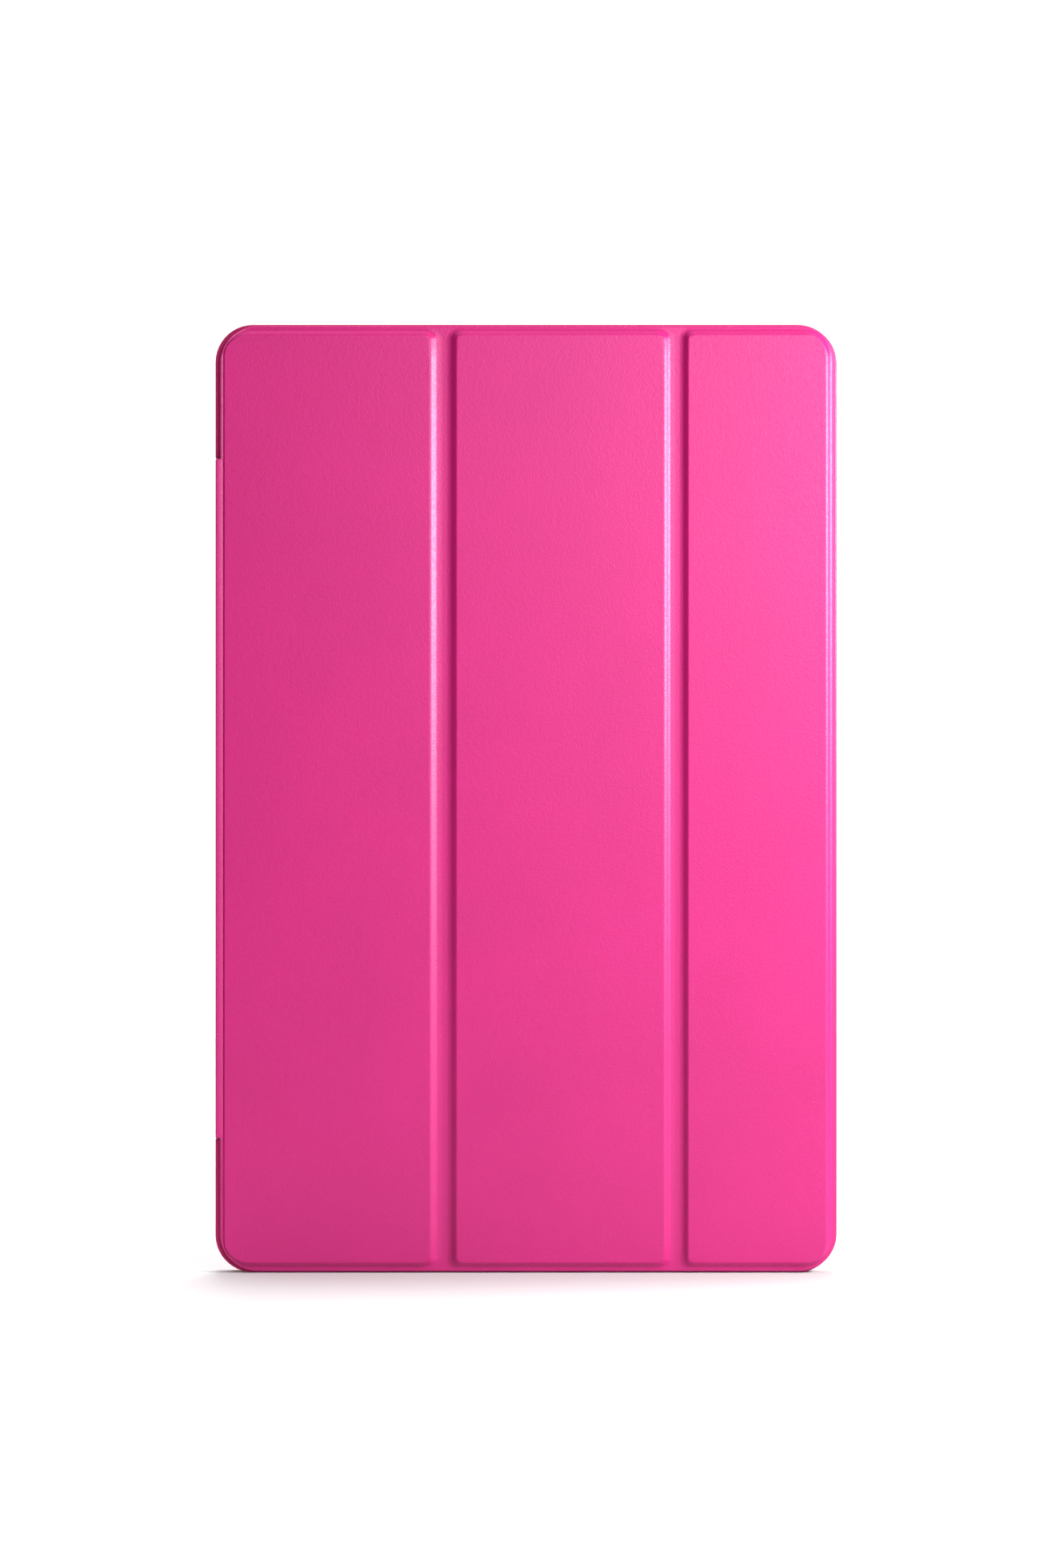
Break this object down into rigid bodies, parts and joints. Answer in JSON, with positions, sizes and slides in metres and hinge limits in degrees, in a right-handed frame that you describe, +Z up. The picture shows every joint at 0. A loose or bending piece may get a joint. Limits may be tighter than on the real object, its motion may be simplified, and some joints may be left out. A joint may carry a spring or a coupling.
{
  "type": "tablet case",
  "caption": "Slim folding tablet case: leather-covered folding cover with raised panels, a leather spine band and a hard back tray with lips and cut-outs.",
  "frame": {"origin": "middle of the bottom short edge: centre of the bounding box at its lowest point, case standing upright and closed", "axes": "+Z up the long side; +X from the spine to the free edge; the cover faces -Y and the hard back shell faces +Y"},
  "size_m": [0.1686, 0.0116, 0.257],
  "materials": {
    "shell_plastic": "fine matte grain, hard polycarbonate",
    "cover_leather": "smooth fine-grain synthetic leather, soft sheen",
    "suede_lining": "brushed microfibre suede",
    "stiff_board": "plain pressed board",
    "adhesive": "clear acrylic film",
    "strip_steel": "rolled, oiled",
    "magnet_plating": "satin nickel plating"
  },
  "bodies": {
    "shell": {"back_shell": "shell_plastic", "shell_lining": "suede_lining", "back_flap": "cover_leather", "flap_adhesive": "adhesive"},
    "spine": {"spine_skin": "cover_leather", "spine_stiffener": "stiff_board", "spine_lining": "suede_lining", "rear_fold_skin": "cover_leather", "rear_fold_lining": "suede_lining"},
    "panel_1": {"panel_1_skin": "cover_leather", "panel_1_board": "stiff_board", "panel_1_lining": "suede_lining", "stand_steel_strip": "strip_steel", "front_fold_skin": "cover_leather", "front_fold_lining": "suede_lining"},
    "panel_2": {"panel_2_skin": "cover_leather", "panel_2_board": "stiff_board", "panel_2_lining": "suede_lining", "fold_1_skin": "cover_leather", "fold_1_lining": "suede_lining"},
    "panel_3": {"panel_3_skin": "cover_leather", "panel_3_board": "stiff_board", "panel_3_lining": "suede_lining", "fold_2_skin": "cover_leather", "fold_2_lining": "suede_lining", "closure_magnets": "magnet_plating", "sleep_magnet": "magnet_plating"}
  },
  "joints": [
    {"name": "spine_rear_fold", "type": "hinge", "parent": "shell", "child": "spine", "pos_m": [-0.08358, 0.00513, 0.1285], "axis": [0, 0, -1], "range_deg": [0, 180], "deforming": ["rear_fold_skin", "rear_fold_lining"]},
    {"name": "spine_front_fold", "type": "hinge", "parent": "spine", "child": "panel_1", "pos_m": [-0.08385, -0.00421, 0.1285], "axis": [0, 0, -1], "range_deg": [0, 90], "deforming": ["front_fold_skin", "front_fold_lining"]},
    {"name": "cover_fold_1", "type": "hinge", "parent": "panel_1", "child": "panel_2", "pos_m": [-0.0224, -0.0041, 0.1285], "axis": [0, 0, -1], "range_deg": [0, 120], "deforming": ["fold_1_skin", "fold_1_lining"]},
    {"name": "cover_fold_2", "type": "hinge", "parent": "panel_2", "child": "panel_3", "pos_m": [0.0407, -0.0041, 0.1285], "axis": [0, 0, -1], "range_deg": [0, 115], "deforming": ["fold_2_skin", "fold_2_lining"]}
  ]
}
